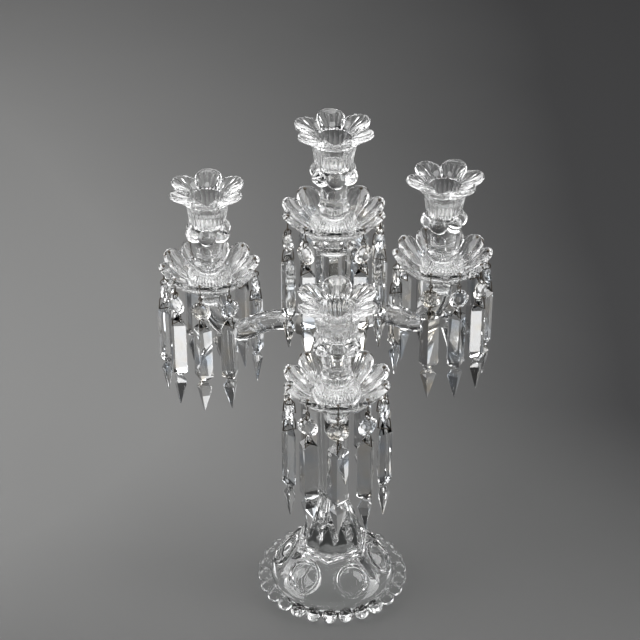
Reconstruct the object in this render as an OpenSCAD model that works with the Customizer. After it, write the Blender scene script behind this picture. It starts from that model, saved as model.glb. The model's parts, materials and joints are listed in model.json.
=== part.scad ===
// Four-light crystal girandole. A beaded foot and a fluted stem carry a hub with three
// swan-neck arms and a raised centre column. Every light has a petalled drip pan hung with
// cut pendants, and a flower-shaped candle nozzle whose peg drops through the pan into a
// socket. Millimetres, +Z up, front towards -Y, origin in the middle of the resting face.

/* [Foot] */
// Diameter across the bead border
foot_d = 150; // [136:1:170]
// Diameter of one border bead
bead_d = 14; // [11:0.5:15]
// Number of border beads
bead_count = 26; // [20:1:28]
// Height of the foot where the stem stands on it
foot_h = 52; // [48:1:60]
// Diameter of the round seat on top of the foot
foot_top_d = 58; // [54:1:66]
// Number of medallions round the foot
medallion_count = 6; // [5:1:6]
// Diameter over the outer ring of a medallion
medallion_d = 37; // [30:0.5:39]
// Diameter of the lens inside a medallion
lens_d = 23; // [16:0.5:25]

/* [Stem] */
// Largest diameter of the stem, just above the foot
stem_foot_d = 57; // [50:1:58]
// Diameter of the stem at its waist
stem_waist_d = 26; // [24:0.5:30]
// Diameter of the stem at its shoulder
stem_shoulder_d = 35; // [32:0.5:40]
// Height of the flare between the foot and the waist
stem_flare_h = 56; // [48:1:66]
// Number of flutes round the stem
flute_count = 12; // [8:1:12]
// Depth of the flutes on the shaft
flute_depth = 0.9; // [0.4:0.1:1.3]

/* [Hub and column] */
// Diameter of the metal hub
hub_d = 42; // [38:1:48]
// Height of the metal hub
hub_h = 50; // [44:1:56]
// Diameter of the panelled column, over its corners
column_d = 33; // [30:0.5:38]
// Number of panels round the column
column_panels = 12; // [8:1:12]
// Diameter of the collar under the centre light
column_collar_d = 40; // [36:1:44]
// Diameter of the threaded rod that joins stem, hub and column
hub_rod_d = 8; // [6:0.5:9]

/* [Arms] */
// Height of the arms where they leave the hub
arm_root_z = 296; // [290:1:304]
// Distance from the middle of the stem to an arm light
arm_reach = 130.5; // [125:0.5:140]
// Thickness of an arm at its elbow
arm_d = 21.5; // [20:0.5:22]
// Thickness of an arm where it enters the hub
arm_root_d = 17.5; // [16:0.5:19.5]
// Radius of the bend below an arm light
elbow_radius = 26; // [24:0.5:30]
// How far an arm dips below the hub before its elbow
arm_drop = 27; // [22:0.5:32]
// Height of the seat of the arm lights
arm_seat_z = 312; // [311:0.5:320]
// Height of the seat of the centre light
centre_seat_z = 405; // [402:0.5:416]
// Direction of the front arm
front_azimuth = -89; // [-93:1:-85]
// Direction of the right arm
right_azimuth = 37; // [34:1:40]
// Direction of the left arm
left_azimuth = 153.5; // [150:0.5:156]

/* [Drip pans] */
// Diameter across the petal tips of a drip pan
pan_d = 98.4; // [94:0.2:104]
// Height of the petal tips above the seat
pan_h = 26.5; // [24:0.5:31]
// Thickness of the glass of a pan
pan_wall = 3.2; // [2.6:0.1:3.8]
// Width of one petal
petal_w = 25; // [24.5:0.5:27]
// Distance of the pendant holes from the middle of the pan
hole_ring_r = 43.5; // [42.5:0.1:44.5]
// Diameter of the pendant holes
pan_hole_d = 2.6; // [2.2:0.1:3]

/* [Nozzles] */
// Diameter of the candle that a nozzle takes
candle_d = 22; // [20:0.5:24]
// Depth of the candle bore
candle_depth = 26; // [22:0.5:27]
// Diameter across the flower tips
flower_d = 74; // [70:0.5:78]
// Height of the flower
flower_h = 13; // [11:0.5:16]
// Number of petals on the flower
flower_petals = 6; // [5:1:8]
// Width of one petal of the flower
flower_petal_w = 28; // [26:0.5:30]
// Diameter at the top of the trumpet
trumpet_d = 43; // [40:0.5:46]
// Height of the trumpet
trumpet_h = 26; // [25:0.5:30]
// Diameter over the ring of cabochons
cabochon_ring_d = 45; // [42:0.5:47]
// Diameter of one cabochon
cabochon_d = 17; // [13:0.5:18]
// Height of the band that carries the cabochons
knop_h = 13; // [11:0.5:15]
// Number of cabochons
cabochon_count = 6; // [5:1:8]
// Diameter of the neck under the cabochons
neck_d = 25.5; // [22:0.5:28]
// Height of the neck
neck_h = 25; // [20:0.5:30]
// Diameter of the skirt that holds the pan down
skirt_d = 42; // [38:0.5:44]
// Height of the skirt
skirt_h = 18; // [15:0.5:22]
// Diameter of the peg that drops into the socket
peg_d = 14; // [12:0.5:14.5]
// Length of the peg below the pan
peg_l = 20; // [16:0.5:20]

/* [Pendants] */
// Diameter of a cut button
button_d = 19; // [17:0.5:19.5]
// Thickness of a cut button
button_t = 7.2; // [6.4:0.2:7.6]
// Width of a prism
prism_w = 18.5; // [16:0.5:19]
// Thickness of a prism over its ridges
prism_t = 9.2; // [8:0.2:9.6]
// Length of a prism with its spear point
prism_l = 101; // [94:1:104]
// Length of the spear point
spear_l = 33; // [28:1:38]
// Diameter of the wire of the hooks and links
wire_d = 0.9; // [0.7:0.05:1]

/* [Hidden] */
$fn = 48;
GLASS = [0.84, 0.88, 0.90];
SILVERED = [0.74, 0.74, 0.72];
STEEL = [0.55, 0.56, 0.58];
BLACKENED = [0.16, 0.14, 0.12];

// Clearances: a cemented or screwed fit, a drop-in fit, and the play of loose wires
fit_gap = 0.1;
drop_gap = 0.3;
play = 0.3;
// Radial room round a candle
candle_gap = 0.25;
// Hair's breadth between a cup and the pan that rests on it
seat_gap = 0.05;

// Foot
bead_r = bead_d / 2;
bead_ring_r = foot_d / 2 - bead_r;
bead_flat = 0.6;
bead_turn = -92.6;
rim_step_w = 3;
rim_h = 9;
band_r = bead_ring_r - rim_step_w;
band_h = rim_h + 3;
foot_top_r = foot_top_d / 2;
foot_floor = 16;
hollow_h = foot_h - foot_floor;
hollow_r = bead_ring_r - bead_d;
medallion_r = medallion_d / 2;
medallion_mid_r = (band_r + foot_top_r) / 2 - 1;
medallion_tilt = atan2(band_r - foot_top_r, foot_h - band_h);
medallion_ring_w = 2.6;
medallion_rise = 2.6;
medallion_turn = -6.5;
medallion_sink = 8;
dome_h = foot_h - 6;
step_h = 3;
step_w = 2;
ridge_turn = medallion_turn + 180 / medallion_count;

// Stem, standing on the foot with a tenon in it, and its metal-capped upper end
tenon_r = 12;
tenon_l = 10;
stem_z = foot_h;
end_floor = 6;
end_grip = 8;
end_r = hub_d / 2 - 3;
stem_top_z = arm_root_z - hub_h / 2 - end_floor;
stem_collar_h = 10;
flute_r = 3;
tongue_r = 6;

// Hub and arms
hub_r = hub_d / 2;
boss_r = arm_root_d / 2 + 3;
boss_end_r = hub_r + 3;
stud_r = 6;
stud_l = 10;
ferrule_wall = 2;
ferrule_floor = 4;
ferrule_grip = 7;
arm_r = arm_d / 2;
arm_root_r = arm_root_d / 2;
arm_sides = 16;
sweep_steps = 7;
elbow_steps = 12;
arm_start_r = boss_end_r + ferrule_floor;
arm_low_z = arm_root_z - arm_drop;
sweep_run = arm_reach - elbow_radius - arm_start_r - ferrule_grip;
sweep_angle = 2 * atan2(arm_drop, sweep_run);
sweep_radius = sweep_run / sin(sweep_angle) - elbow_radius;

// Lights: every socket takes the same peg
peg_r = peg_d / 2;
socket_r = peg_r + drop_gap;
socket_l = peg_l + 2;
cup_r = socket_r + 7.5;
cup_h = 14;

// Centre column
column_z = arm_root_z + hub_h / 2 + end_floor;
column_r = column_d / 2;
column_foot_h = 12;
column_collar_h = 6;

// Drip pan, its curve is a parabola from the seat that runs on past the petal tips, so that
// the round petals cut it off
petal_count = 10;
petal_step = 360 / petal_count;
pan_r = pan_d / 2;
pan_edge_r = pan_r + 1;
pan_seat_r = 15;
petal_r = petal_w / 2;
curve_steps = 8;
function pan_z(r) = pan_h * pow((r - pan_seat_r) / (pan_r - pan_seat_r), 2);
function pan_slope(r) = 2 * pan_h * (r - pan_seat_r) / pow(pan_r - pan_seat_r, 2);
function pan_inside(r) =
    let (s = pan_slope(r), n = sqrt(1 + s * s))
    [r - pan_wall * s / n, pan_z(r) + pan_wall / n];
function pan_top_z(r) = pan_z(r) + pan_wall * sqrt(1 + pow(pan_slope(r), 2));
function pan_radius(i) = pan_seat_r + (pan_edge_r - pan_seat_r) * i / curve_steps;

// Nozzle levels, measured up from the light's seat
candle_r = candle_d / 2 + candle_gap;
skirt_r = skirt_d / 2;
skirt_z = pan_wall;
skirt_edge_z = pan_top_z(skirt_r) + drop_gap;
collar_z = skirt_z + skirt_h;
collar_h = 7;
neck_z = collar_z + collar_h;
cabochon_z = neck_z + neck_h + knop_h / 2;
trumpet_z = neck_z + neck_h + knop_h;
flower_z = trumpet_z + trumpet_h;
neck_r = neck_d / 2;
trumpet_r = trumpet_d / 2;
trumpet_foot_r = trumpet_r - 4.5;
flower_r = flower_d / 2;
flower_wall = 3;
flower_petal_r = flower_petal_w / 2;
trumpet_flutes = 12;

// Pendant levels, measured up from the light's seat at the pan's hole
wire_r = wire_d / 2;
eye_r = 1.7;
eye_drop = 8;
ring_r = 3.2;
button_r = button_d / 2;
button_table_r = button_r * 0.47;
button_edge_t = 2;
bead_hole_r = 1.15;
hole_inset = 2.15;
eye_z = pan_z(hole_ring_r) - eye_drop;
pivot_z = eye_z - eye_r;
ring_z = pivot_z - (ring_r - 2 * wire_r - play);
button_hole_r = button_r - hole_inset;
button_z = ring_z - (ring_r - wire_r) - button_hole_r;
link_top_z = button_z - button_hole_r;
prism_gap = 2.8;
prism_z = button_z - button_r - prism_gap;
prism_hole_drop = 6.5;
prism_gable_h = 8.5;
prism_edge_t = 2.4;
neck_w = 7;
neck_t = 6;
prism_neck_h = 7;
shoulder_h = 6;
spear_w = prism_w - 2.5;
head_r = 0.55 + pan_hole_d / 2;

// Each light: its name, where it stands, its seat, the direction of its first bare petal,
// the petals that stay bare because an arm passes below them, and the turn of its flower
LIGHTS = [
    ["centre", [0, 0], centre_seat_z, front_azimuth, [0, 7], 37],
    ["front", on_arm(front_azimuth), arm_seat_z, front_azimuth + 180, [0], 30],
    ["right", on_arm(right_azimuth), arm_seat_z, right_azimuth + 180, [0], 8],
    ["left", on_arm(left_azimuth), arm_seat_z, left_azimuth + 180, [0], 29]
];
function on_arm(azimuth) = arm_reach * [cos(azimuth), sin(azimuth)];
function hung(light) = [for (i = [0 : petal_count - 1]) if (len(search(i, light[4])) == 0) i];

// A round bar from p to q
module bar(p, q, r) {
    v = q - p;
    translate(p)
        rotate([0, acos(v.z / norm(v)), atan2(v.y, v.x)])
            cylinder(r = r, h = norm(v));
}

// A ring of wire in the plane of X and Z
module wire_ring(radius) {
    rotate([90, 0, 0])
        rotate_extrude()
            translate([radius, 0])
                circle(r = wire_r);
}

// A closed skin over a row of rings that each have the same number of points and run
// clockwise about the direction of travel
module loft(rings) {
    n = len(rings[0]);
    last = len(rings) - 1;
    walls = [
        for (k = [0 : last - 1])
            for (i = [0 : n - 1])
                let (a = k * n + i, b = k * n + (i + 1) % n)
                each [[a, b, a + n], [b, b + n, a + n]]
    ];
    start = [for (i = [n - 1 : -1 : 0]) i];
    end = [for (i = [0 : n - 1]) last * n + i];
    polyhedron([for (ring = rings) each ring], concat(walls, [start, end]));
}

// Upright cylinders whose outline is a ring of round petals about a core
module petal_outline(count, tip_r, round_r, bottom, top) {
    translate([0, 0, bottom]) {
        cylinder(r = (tip_r - round_r) * cos(180 / count), h = top - bottom);
        for (i = [0 : count - 1])
            rotate(i * 360 / count)
                translate([tip_r - round_r, 0, 0])
                    cylinder(r = round_r, h = top - bottom);
    }
}

// One medallion: a raised outer ring, a second ring and a domed lens, seated on the foot
module medallion() {
    lens_r = lens_d / 2;
    rotate_extrude()
        polygon([
            [0, -medallion_sink],
            [medallion_r, -medallion_sink],
            [medallion_r, medallion_rise - 1],
            [medallion_r - 1, medallion_rise],
            [medallion_r - medallion_ring_w, medallion_rise],
            [medallion_r - medallion_ring_w - 0.6, medallion_rise - 1.2],
            [lens_r + 1.6, medallion_rise - 1.2],
            [lens_r + 1, medallion_rise - 0.4],
            [lens_r, medallion_rise - 0.4],
            [lens_r * 0.8, medallion_rise + 0.6],
            [lens_r * 0.45, medallion_rise + 1.4],
            [0, medallion_rise + 1.7]
        ]);
}

// The panelled dome between the border and the stem, with a stepped top
module foot_dome() {
    top_r = foot_top_r / cos(180 / medallion_count);
    intersection() {
        rotate_extrude()
            polygon([
                [0, 0],
                [band_r, 0],
                [band_r, band_h],
                [medallion_mid_r + 5, (band_h + foot_h) / 2 - 2],
                [top_r + 3 * step_w, dome_h],
                [0, dome_h]
            ]);
        rotate(ridge_turn)
            loft([
                [for (i = [0 : medallion_count - 1]) ridge_point(i, band_r * 1.25, -1)],
                [for (i = [0 : medallion_count - 1]) ridge_point(i, top_r + 2 * step_w, dome_h + 1)]
            ]);
    }
    for (i = [0 : 1])
        rotate(ridge_turn)
            cylinder(r = top_r + (1 - i) * step_w, h = foot_h - (1 - i) * step_h, $fn = medallion_count);
}

// Corner of a panel of the dome, counted clockwise
function ridge_point(i, r, z) =
    [r * cos(-i * 360 / medallion_count), r * sin(-i * 360 / medallion_count), z];

module foot() {
    color(GLASS)
    difference() {
        union() {
            rotate_extrude()
                polygon([
                    [0, 0],
                    [bead_ring_r, 0],
                    [bead_ring_r, rim_h - 3],
                    [band_r, rim_h],
                    [0, rim_h]
                ]);
            foot_dome();
            for (i = [0 : bead_count - 1])
                rotate(i * 360 / bead_count + bead_turn)
                    translate([bead_ring_r, 0, bead_r - bead_flat])
                        sphere(r = bead_r);
            for (i = [0 : medallion_count - 1])
                rotate(i * 360 / medallion_count + medallion_turn)
                    translate([medallion_mid_r, 0, (band_h + foot_h) / 2 - 1])
                        rotate([0, 90 - medallion_tilt, 0])
                            medallion();
        }
        translate([0, 0, -bead_d])
            cylinder(r = foot_d, h = bead_d);
        rotate_extrude()
            polygon([
                [0, -1],
                [hollow_r, -1],
                [hollow_r, 0],
                [hollow_r - 6, 4],
                [medallion_mid_r - medallion_r / 2, hollow_h * 0.55],
                [foot_top_r / 2, hollow_h],
                [0, hollow_h]
            ]);
        translate([0, 0, foot_h - tenon_l - fit_gap])
            cylinder(r = tenon_r + fit_gap, h = tenon_l + 1);
    }
}

module stem() {
    foot_r = stem_foot_d / 2;
    waist_r = stem_waist_d / 2;
    shoulder_r = stem_shoulder_d / 2;
    waist_z = stem_z + stem_flare_h;
    shoulder_z = stem_top_z - 34;
    color(GLASS)
    difference() {
        rotate_extrude()
            polygon([
                [0, stem_z - tenon_l],
                [tenon_r, stem_z - tenon_l],
                [tenon_r, stem_z],
                [foot_r, stem_z],
                [foot_r, stem_z + 4],
                [foot_r - 1.5, stem_z + stem_flare_h * 0.38],
                [waist_r + 6.5, stem_z + stem_flare_h * 0.65],
                [waist_r + 1.5, stem_z + stem_flare_h * 0.9],
                [waist_r, waist_z],
                [shoulder_r, shoulder_z],
                [shoulder_r + 1, shoulder_z + 6],
                [shoulder_r - 3, shoulder_z + 14],
                [shoulder_r - 4, stem_top_z - 3 - stem_collar_h],
                [end_r, stem_top_z - stem_collar_h],
                [end_r, stem_top_z],
                [0, stem_top_z]
            ]);
        for (i = [0 : flute_count - 1])
            rotate((i + 0.5) * 360 / flute_count) {
                bar([foot_r + tongue_r + 0.2, 0, stem_z + 10],
                    [waist_r + tongue_r - 1.2, 0, waist_z + 4], tongue_r);
                bar([waist_r + flute_r - flute_depth, 0, waist_z],
                    [shoulder_r + flute_r - flute_depth, 0, shoulder_z], flute_r);
            }
    }
}

module hub() {
    low = arm_root_z - hub_h / 2;
    color(SILVERED)
    difference() {
        union() {
            rotate_extrude()
                polygon([
                    [0, low],
                    [hub_r - 1, low],
                    [hub_r - 1, low + 4],
                    [hub_r - 4, low + 6],
                    [hub_r, low + 12],
                    [hub_r, low + hub_h - 12],
                    [hub_r - 4, low + hub_h - 6],
                    [hub_r - 1, low + hub_h - 4],
                    [hub_r - 1, low + hub_h],
                    [0, low + hub_h]
                ]);
            for (azimuth = [front_azimuth, right_azimuth, left_azimuth])
                rotate(azimuth)
                    bar([hub_r / 2, 0, arm_root_z], [boss_end_r, 0, arm_root_z], boss_r);
        }
        for (azimuth = [front_azimuth, right_azimuth, left_azimuth])
            rotate(azimuth)
                translate([boss_end_r - stud_l - 0.5, 0, arm_root_z])
                    rotate([0, 90, 0])
                        cylinder(r = stud_r + fit_gap, h = stud_l + 1);
        translate([0, 0, low - 1])
            cylinder(r = hub_rod_d / 2 + fit_gap, h = hub_h + 2);
    }
}

module upper_column() {
    collar_r = column_collar_d / 2;
    collar_top = centre_seat_z - cup_h + 4;
    color(GLASS)
    difference() {
        union() {
            translate([0, 0, column_z + 1])
                cylinder(r = column_r, h = collar_top - column_z - 1, $fn = column_panels);
            rotate_extrude()
                polygon([
                    [0, column_z],
                    [end_r, column_z],
                    [end_r, column_z + column_foot_h - 3],
                    [column_r - 1, column_z + column_foot_h],
                    [0, column_z + column_foot_h]
                ]);
            rotate_extrude()
                polygon([
                    [0, collar_top - column_collar_h],
                    [collar_r - 3, collar_top - column_collar_h],
                    [collar_r, collar_top - column_collar_h + 2],
                    [collar_r, collar_top - 2],
                    [collar_r - 4, collar_top],
                    [cup_r - 1, centre_seat_z - 5],
                    [cup_r, centre_seat_z - 2],
                    [cup_r - 1, centre_seat_z - seat_gap],
                    [0, centre_seat_z - seat_gap]
                ]);
        }
        translate([0, 0, centre_seat_z - socket_l])
            cylinder(r = socket_r, h = socket_l + 1);
    }
}

// Metal cup cemented on a glass end of radius end_r, with its floor on the hub
module end_ferrule() {
    outer_r = end_r + fit_gap + ferrule_wall;
    rotate_extrude()
        polygon([
            [hub_rod_d / 2 + fit_gap, 0],
            [outer_r, 0],
            [outer_r, end_floor + end_grip - 1],
            [outer_r - 1, end_floor + end_grip],
            [end_r + fit_gap, end_floor + end_grip],
            [end_r + fit_gap, end_floor],
            [hub_rod_d / 2 + fit_gap, end_floor]
        ]);
}

module stem_ferrule() {
    color(SILVERED)
        translate([0, 0, arm_root_z - hub_h / 2])
            mirror([0, 0, 1])
                end_ferrule();
}

module column_ferrule() {
    color(SILVERED)
        translate([0, 0, arm_root_z + hub_h / 2])
            end_ferrule();
}

// Threaded rod that draws both ferrules against the hub
module hub_rod() {
    rod_l = hub_h + 2 * end_floor - 1;
    color(STEEL)
        translate([0, 0, arm_root_z - rod_l / 2])
            cylinder(r = hub_rod_d / 2, h = rod_l);
}

// Ring of the arm's skin at a station: distance from the stem, height, heading, radius
function arm_ring(station) =
    let (x = station[0], z = station[1], heading = station[2], r = station[3])
    [for (i = [0 : arm_sides - 1])
        let (turn = i * 360 / arm_sides)
        [x - r * cos(turn) * sin(heading), r * sin(turn), z + r * cos(turn) * cos(heading)]];

// A swan-neck arm: a straight root, a falling sweep, an elbow, and an upright cup
module arm(azimuth) {
    sweep_x = arm_start_r + ferrule_grip;
    elbow_x = arm_reach - elbow_radius;
    elbow_z = arm_low_z + elbow_radius;
    root = [arm_start_r, arm_root_z, 0, arm_root_r];
    sweep = [
        for (i = [0 : sweep_steps])
            let (turn = sweep_angle * i / sweep_steps)
            [sweep_x + sweep_radius * sin(turn), arm_root_z - sweep_radius * (1 - cos(turn)),
             -turn, arm_root_r + (arm_r - arm_root_r) * i / sweep_steps]
    ];
    elbow = [
        for (i = [1 : elbow_steps])
            let (turn = (90 + sweep_angle) * i / elbow_steps - sweep_angle)
            [elbow_x + elbow_radius * sin(turn), elbow_z - elbow_radius * cos(turn), turn, arm_r]
    ];
    end = [arm_reach, elbow_z + 2, 90, arm_r];
    color(GLASS)
    rotate(azimuth)
        difference() {
            union() {
                loft([for (station = concat([root], sweep, elbow, [end])) arm_ring(station)]);
                translate([arm_reach, 0, 0])
                    rotate_extrude()
                        polygon([
                            [0, elbow_z],
                            [arm_r - 1, elbow_z],
                            [arm_r + 0.5, elbow_z + 1.5],
                            [arm_r + 0.5, arm_seat_z - cup_h],
                            [cup_r - 1, arm_seat_z - 5],
                            [cup_r, arm_seat_z - 2],
                            [cup_r - 1, arm_seat_z - seat_gap],
                            [0, arm_seat_z - seat_gap]
                        ]);
            }
            translate([arm_reach, 0, arm_seat_z - socket_l])
                cylinder(r = socket_r, h = socket_l + 1);
        }
}

// Metal cups cemented on the arms' inner ends, each with a stud that goes into the hub
module arm_ferrules() {
    outer_r = arm_root_r + fit_gap + ferrule_wall;
    color(SILVERED)
        for (azimuth = [front_azimuth, right_azimuth, left_azimuth])
            rotate(azimuth)
                translate([boss_end_r, 0, arm_root_z])
                    rotate([0, 90, 0])
                        rotate_extrude()
                            polygon([
                                [0, -stud_l],
                                [stud_r, -stud_l],
                                [stud_r, 0],
                                [outer_r, 0],
                                [outer_r, ferrule_floor + ferrule_grip - 1],
                                [outer_r - 1, ferrule_floor + ferrule_grip],
                                [arm_root_r + fit_gap, ferrule_floor + ferrule_grip],
                                [arm_root_r + fit_gap, ferrule_floor],
                                [0, ferrule_floor]
                            ]);
}

// Places its children at a light, turned so that petal 0 points along +X
module at_light(light) {
    translate([light[1].x, light[1].y, light[2]])
        rotate(light[3])
            children();
}

module bobeche(light) {
    outside = [for (i = [0 : curve_steps]) [pan_radius(i), pan_z(pan_radius(i))]];
    inside = [for (i = [curve_steps : -1 : 0]) pan_inside(pan_radius(i))];
    color(GLASS)
    at_light(light)
        difference() {
            intersection() {
                rotate_extrude()
                    polygon(concat([[0, 0]], outside, inside, [[0, pan_wall]]));
                petal_outline(petal_count, pan_r, petal_r, -1, 2 * pan_h);
            }
            translate([0, 0, -1])
                cylinder(r = socket_r, h = pan_wall + 2);
            for (i = [0 : petal_count - 1])
                rotate(i * petal_step)
                    translate([hole_ring_r, 0, 0])
                        cylinder(r = pan_hole_d / 2, h = 2 * pan_h);
        }
}

module nozzle(light) {
    color(GLASS)
    translate([light[1].x, light[1].y, light[2]])
        rotate(light[5])
            difference() {
                union() {
                    nozzle_body();
                    for (i = [0 : cabochon_count - 1])
                        rotate((i + 0.5) * 360 / cabochon_count)
                            translate([cabochon_ring_d / 2 - cabochon_d / 2, 0, cabochon_z])
                                sphere(r = cabochon_d / 2);
                    flower();
                }
                translate([0, 0, flower_z - candle_depth])
                    cylinder(r = candle_r, h = candle_depth + flower_h);
            }
}

// Peg, skirt, collar, neck and fluted trumpet
module nozzle_body() {
    collar_r = neck_r + 1.3;
    flute_tilt = atan2(trumpet_r - trumpet_foot_r, trumpet_h);
    trumpet_flute_r = 3;
    difference() {
        rotate_extrude()
            polygon([
                [0, -peg_l],
                [peg_r - 0.5, -peg_l],
                [peg_r, 0.5 - peg_l],
                [peg_r, skirt_z],
                [pan_seat_r - 1, skirt_z],
                [skirt_r, skirt_edge_z],
                [skirt_r, skirt_edge_z + 3],
                [skirt_r - 1.5, skirt_z + skirt_h * 0.55],
                [skirt_r - 4.5, skirt_z + skirt_h * 0.85],
                [collar_r, collar_z],
                [collar_r, collar_z + collar_h - 1],
                [neck_r, neck_z],
                [neck_r, neck_z + neck_h],
                [trumpet_foot_r - 2, cabochon_z],
                [trumpet_foot_r, trumpet_z],
                [trumpet_r, flower_z],
                [0, flower_z]
            ]);
        for (i = [0 : trumpet_flutes - 1])
            rotate(i * 360 / trumpet_flutes)
                translate([trumpet_foot_r + trumpet_flute_r - 0.9, 0, trumpet_z])
                    rotate([0, flute_tilt, 0])
                        cylinder(r = trumpet_flute_r, h = trumpet_h);
    }
}

// The flared flower that rims the candle bore
module flower() {
    root = flower_z - 3;
    intersection() {
        rotate_extrude()
            polygon([
                [candle_r - 1, root],
                [trumpet_r - 2.5, root],
                [trumpet_r - 0.4, flower_z],
                [trumpet_r + 6, flower_z + flower_h * 0.42],
                [flower_r - 1, flower_z + flower_h - flower_wall],
                [flower_r + 1, flower_z + flower_h],
                [trumpet_r + 4, flower_z + flower_h * 0.68],
                [candle_r + 4, flower_z + flower_h * 0.35],
                [candle_r, flower_z],
                [candle_r - 1, flower_z]
            ]);
        petal_outline(flower_petals, flower_r, flower_petal_r, root - 1, flower_z + flower_h + 1);
    }
}

// A pin through the pan with a round head inside it and an eye for the pendant below
module hook() {
    head_z = pan_top_z(hole_ring_r) + (head_r + play) * sqrt(1 + pow(pan_slope(hole_ring_r), 2));
    rotate(90)
        translate([0, 0, eye_z])
            wire_ring(eye_r);
    bar([0, 0, eye_z + eye_r - wire_r / 2], [0, 0, head_z], wire_r);
    translate([0, 0, head_z])
        sphere(r = head_r);
}

module hooks(light) {
    color(BLACKENED)
        at_light(light)
            for (i = hung(light))
                rotate(i * petal_step)
                    translate([hole_ring_r, 0, 0])
                        hook();
}

// A round button cut on both faces: a table, eight sloping facets and a straight girdle
module button() {
    facet = [
        [-button_r, -button_edge_t / 2],
        [-button_table_r, -button_t / 2],
        [button_table_r, -button_t / 2],
        [button_r, -button_edge_t / 2],
        [button_r, button_edge_t / 2],
        [button_table_r, button_t / 2],
        [-button_table_r, button_t / 2],
        [-button_r, button_edge_t / 2]
    ];
    difference() {
        rotate([0, 90, 0])
            intersection_for(turn = [0 : 45 : 135])
                rotate(turn)
                    rotate([90, 0, 0])
                        linear_extrude(3 * button_r, center = true)
                            polygon(facet);
        for (side = [-1, 1])
            translate([0, 0, side * button_hole_r])
                rotate([0, 90, 0])
                    cylinder(r = bead_hole_r, h = 2 * button_t, center = true);
    }
}

// Outline of the prism at one level: two side edges and a ridge down each face
function prism_ring(level) =
    let (z = level[0], w = level[1] / 2, t = level[2] / 2, e = level[3] / 2)
    [[e, w, z], [t, 0, z], [e, -w, z], [-e, -w, z], [-t, 0, z], [-e, w, z]];

// A gabled bar with a ridge down each face, drawn in to a neck above a spear point
module prism() {
    bar_end = spear_l + prism_neck_h - prism_l;
    levels = [
        [-prism_l, 0.8, 0.8, 0.4],
        [spear_l - shoulder_h - prism_l, spear_w, prism_t - 0.6, 1.2],
        [spear_l - prism_l, neck_w, neck_t, 2],
        [spear_l - prism_l + 1.5, neck_w, neck_t, 2],
        [bar_end, prism_w, prism_t, prism_edge_t],
        [-prism_gable_h, prism_w, prism_t, prism_edge_t],
        [0, 2.4, 5.2, prism_edge_t]
    ];
    difference() {
        loft([for (level = levels) prism_ring(level)]);
        translate([0, 0, -prism_hole_drop])
            rotate([0, 90, 0])
                cylinder(r = bead_hole_r, h = 2 * prism_t, center = true);
    }
}

// A bent wire from the button's lower hole to the prism's hole, with tight bends
module link() {
    top_x = button_t / 2;
    low_x = prism_t / 2 + 1;
    low_z = prism_z - prism_hole_drop;
    bends = [
        [-top_x, 0, link_top_z],
        [top_x, 0, link_top_z],
        [low_x, 0, low_z],
        [-low_x, 0, low_z]
    ];
    for (i = [0 : 3]) {
        bar(bends[i], bends[(i + 1) % 4], wire_r);
        translate(bends[i])
            sphere(r = wire_r * 1.15);
    }
}

// One pendant hangs from its hook's eye: ring, button, link and prism
module pendant(light, petal) {
    at_light(light)
        rotate(petal * petal_step)
            translate([hole_ring_r, 0, 0]) {
                color(BLACKENED) {
                    translate([0, 0, ring_z])
                        wire_ring(ring_r);
                    link();
                }
                color(GLASS) {
                    translate([0, 0, button_z])
                        button();
                    translate([0, 0, prism_z])
                        prism();
                }
            }
}

foot();
stem();
stem_ferrule();
hub();
hub_rod();
column_ferrule();
upper_column();
arm(front_azimuth);  // arm_front
arm(right_azimuth);  // arm_right
arm(left_azimuth);  // arm_left
arm_ferrules();
for (light = LIGHTS) {
    bobeche(light);
    nozzle(light);
    hooks(light);
    for (i = [1 : len(hung(light))])
        pendant(light, hung(light)[i - 1]);
}
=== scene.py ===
"""Looks of a four-light crystal girandole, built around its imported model.

Lengths in the builders are millimetres, as on the maker's drawing. make_piece turns them into
metres. The stage is in metres. A light is a pan, a nozzle, its hooks and its pendants on one
upright axis.
"""

import json
import math

import bmesh
import bpy
from bpy.props import FloatProperty, FloatVectorProperty, IntProperty, PointerProperty
from mathutils import Matrix, Vector


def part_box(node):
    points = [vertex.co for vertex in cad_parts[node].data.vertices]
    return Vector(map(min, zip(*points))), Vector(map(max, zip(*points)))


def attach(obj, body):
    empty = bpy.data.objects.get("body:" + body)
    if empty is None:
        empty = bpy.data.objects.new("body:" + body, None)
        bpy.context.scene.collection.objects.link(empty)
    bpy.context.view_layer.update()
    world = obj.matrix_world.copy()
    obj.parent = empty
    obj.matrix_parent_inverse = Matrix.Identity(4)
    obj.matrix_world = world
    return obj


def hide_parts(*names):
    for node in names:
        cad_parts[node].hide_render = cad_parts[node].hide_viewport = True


bl_info = {
    "name": "Crystal Girandole",
    "version": (1, 0, 0),
    "blender": (4, 5, 0),
    "location": "3D View > Sidebar > Girandole",
    "description": "Builds a four-light crystal girandole around its packed model",
    "category": "Add Mesh",
}

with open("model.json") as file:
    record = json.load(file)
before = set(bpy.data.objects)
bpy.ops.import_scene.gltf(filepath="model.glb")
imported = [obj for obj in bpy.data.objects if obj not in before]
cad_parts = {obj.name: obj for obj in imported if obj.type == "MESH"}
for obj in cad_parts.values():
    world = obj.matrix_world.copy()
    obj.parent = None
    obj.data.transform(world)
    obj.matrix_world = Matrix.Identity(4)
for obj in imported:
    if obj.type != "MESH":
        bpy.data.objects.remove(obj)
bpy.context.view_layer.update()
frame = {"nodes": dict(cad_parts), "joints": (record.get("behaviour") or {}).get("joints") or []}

MM = 0.001
TURN = 2 * math.pi
LIGHT_NAMES = ("centre", "front", "right", "left")
ARM_NAMES = ("front", "right", "left")
FLOWER_TURNS = {"centre": 37, "front": 30, "right": 8, "left": 29}
PETALS = 10


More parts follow.
